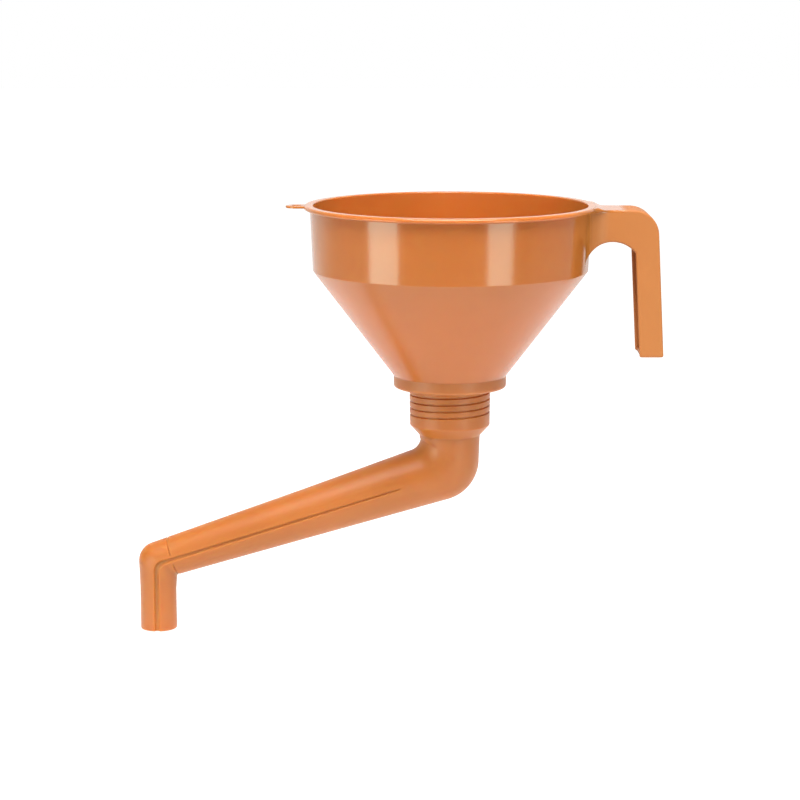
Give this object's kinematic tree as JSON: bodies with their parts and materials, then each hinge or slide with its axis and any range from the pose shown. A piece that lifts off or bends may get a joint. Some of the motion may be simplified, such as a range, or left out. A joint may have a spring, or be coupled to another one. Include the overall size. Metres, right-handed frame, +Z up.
{
  "type": "pouring funnel",
  "caption": "Wide conical pouring funnel with a flanged lip, side handle, hang tab and strainer, and a screw-in bent spout that reaches out sideways and ends in a short downward tip.",
  "frame": {"origin": "centre of the rim's flat top face, on the bowl's axis", "axes": "+Z up along the bowl's axis, +X towards the handle, so the spout's arm points along -X at rest"},
  "size_m": [0.2902, 0.16, 0.2379],
  "materials": {
    "orange_plastic": "glossy moulded polypropylene",
    "spout_plastic": "satin blow-moulded polyethylene",
    "gauze": "woven brass wire",
    "gauze_ring": "pressed brass strip",
    "seal": "matt black rubber"
  },
  "bodies": {
    "funnel": {"funnel_body": "orange_plastic"},
    "strainer": {"strainer_rim": "gauze_ring", "strainer_mesh": "gauze"},
    "seal": {"seal_ring": "seal"},
    "spout": {"spout": "spout_plastic"}
  },
  "joints": [
    {"name": "strainer_lift", "type": "slide", "parent": "funnel", "child": "strainer", "axis": [0, 0, 1], "range_m": [0, 0.1]},
    {"name": "spout_lift", "type": "slide", "parent": "funnel", "child": "seal", "axis": [0, 0, 1], "range_m": [-0.0048, 0.0009]},
    {"name": "spout_turn", "type": "hinge", "parent": "seal", "child": "spout", "pos_m": [0, 0, -0.109], "axis": [0, 0, 1], "range_deg": [-450, 85]}
  ],
  "couplings": [
    {"joint": "spout_lift", "follows": "spout_turn", "m_per_rad": 0.00058887}
  ]
}
